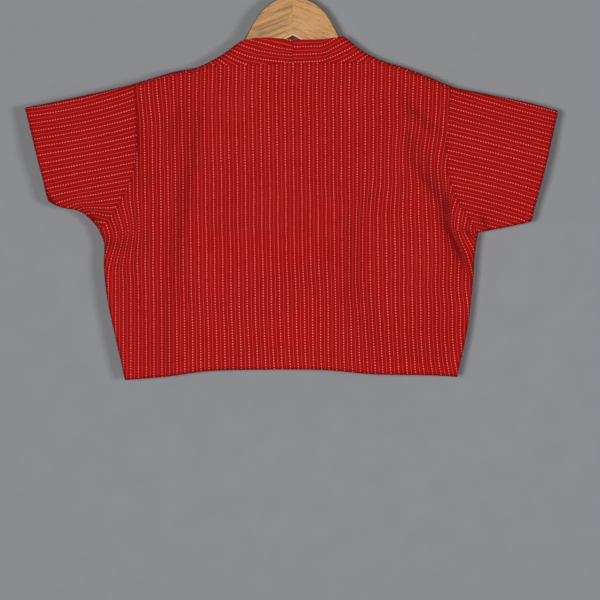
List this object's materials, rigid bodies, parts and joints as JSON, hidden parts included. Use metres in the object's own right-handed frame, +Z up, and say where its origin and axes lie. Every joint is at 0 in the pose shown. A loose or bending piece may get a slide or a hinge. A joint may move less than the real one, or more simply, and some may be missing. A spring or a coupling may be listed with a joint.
{
  "type": "choli blouse on a wooden hanger",
  "caption": "Short boxy striped cotton choli blouse with cut-on collar and short set-in sleeves, hung flat on a wooden hanger.",
  "frame": {"origin": "inside of the crown of the hanger's hook, where a rail bears", "axes": "+Z up, +X to the right when the blouse is seen from its back, +Y out of the blouse's front; its back faces -Y"},
  "size_m": [0.6499, 0.0424, 0.5296],
  "materials": {
    "cloth": "matt woven cotton with pale dashed lengthwise stripes",
    "wood": "satin varnish",
    "wire": "plated"
  },
  "bodies": {
    "root": {"back": "cloth", "front_left": "cloth", "front_right": "cloth", "sleeve_left": "cloth", "sleeve_right": "cloth", "hanger_arm_left": "wood", "hanger_arm_right": "wood", "hook": "wire"}
  },
  "joints": []
}
